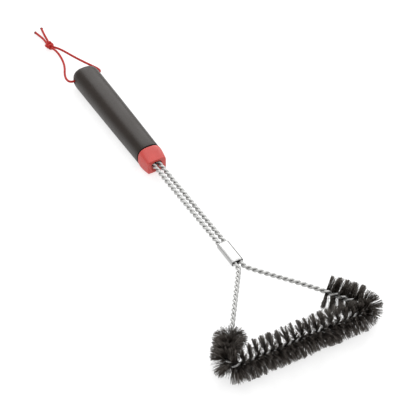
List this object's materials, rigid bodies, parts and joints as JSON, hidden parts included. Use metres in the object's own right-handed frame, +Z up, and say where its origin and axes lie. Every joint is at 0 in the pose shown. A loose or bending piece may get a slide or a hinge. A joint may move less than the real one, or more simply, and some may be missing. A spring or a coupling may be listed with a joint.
{
  "type": "grill cleaning brush",
  "caption": "Long-handled wire brush with a three-sided bristle head on twisted wire arms, a crimped sleeve, a collar and a hanging cord.",
  "frame": {"origin": "under the middle of the brush, on the surface that the handle's foot and the bristle tips rest on", "axes": "+Y along the handle towards the butt, +X across the head, +Z up"},
  "size_m": [0.2092, 0.6607, 0.0408],
  "materials": {
    "handle": "matte charcoal",
    "collar": "satin red",
    "steel": "bright pressed steel",
    "wire": "bright drawn wire",
    "bristle": "dark fine wire",
    "cord": "red braid",
    "cord_tip": "melted braid"
  },
  "bodies": {
    "brush": {"handle": "handle", "collar": "collar", "anchor_crimp": "steel", "sleeve": "steel", "shaft_left_a": "wire", "shaft_left_b": "wire", "shaft_right_a": "wire", "shaft_right_b": "wire", "arm_left_a": "wire", "arm_left_b": "wire", "arm_right_a": "wire", "arm_right_b": "wire", "corner_left_a": "wire", "corner_left_b": "wire", "corner_right_a": "wire", "corner_right_b": "wire", "front_a": "wire", "front_b": "wire", "bristles_side_left": "bristle", "bristles_corner_left": "bristle", "bristles_front": "bristle", "bristles_corner_right": "bristle", "bristles_side_right": "bristle"},
    "loop": {"cord_left": "cord", "cord_right": "cord", "cord_knot": "cord", "cord_tail_left": "cord", "cord_tail_right": "cord", "cord_tips": "cord_tip"}
  },
  "joints": [
    {"name": "loop_swing", "type": "hinge", "parent": "brush", "child": "loop", "pos_m": [0, 0.2619, 0.0145], "axis": [1, 0, 0], "range_deg": [-100, 120]}
  ]
}
